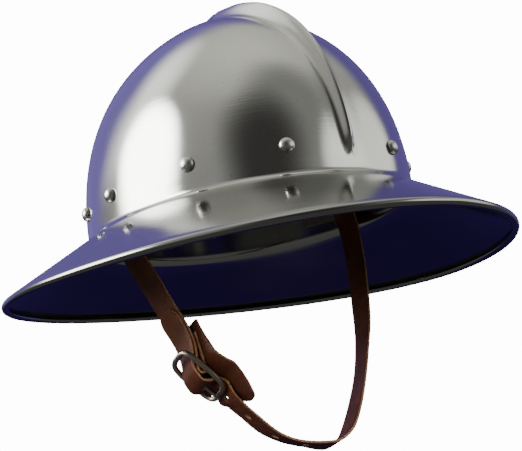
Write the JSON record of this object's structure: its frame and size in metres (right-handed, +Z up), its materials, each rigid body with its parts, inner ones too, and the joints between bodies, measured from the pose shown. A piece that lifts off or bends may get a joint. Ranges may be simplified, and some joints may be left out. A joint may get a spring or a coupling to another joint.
{
  "type": "kettle_hat",
  "caption": "Kettle hat of polished steel with a medial comb, a broad sloping brim with rolled edge, domed rivets and a buckled brown leather chin strap.",
  "frame": {"origin": "the inside of the crown's top on the middle plane, where a wearer's head carries the hat", "axes": "+X the wearer's left, -X the wearer's right and the buckle, +Y the back, -Y the front, +Z up through the top of the crown"},
  "size_m": [0.3012, 0.3499, 0.2793],
  "materials": {
    "polished_steel": "polished, with fine marks",
    "rivet_steel": "satin",
    "buckle_steel": "worn satin",
    "brown_leather": "smooth vegetable-tanned, tan cut edges",
    "dark_leather": "smooth, darker"
  },
  "bodies": {
    "root": {"hat_shell": "polished_steel", "rivet_01": "rivet_steel", "rivet_02": "rivet_steel", "rivet_03": "rivet_steel", "rivet_04": "rivet_steel", "rivet_05": "rivet_steel", "rivet_06": "rivet_steel", "rivet_07": "rivet_steel", "rivet_08": "rivet_steel", "rivet_09": "rivet_steel", "rivet_10": "rivet_steel", "strap_anchor_right": "buckle_steel", "strap_anchor_left": "buckle_steel", "buckle_strap": "brown_leather", "chin_strap": "brown_leather", "buckle_guard": "dark_leather", "buckle_frame": "buckle_steel", "buckle_prong": "buckle_steel"}
  },
  "joints": []
}
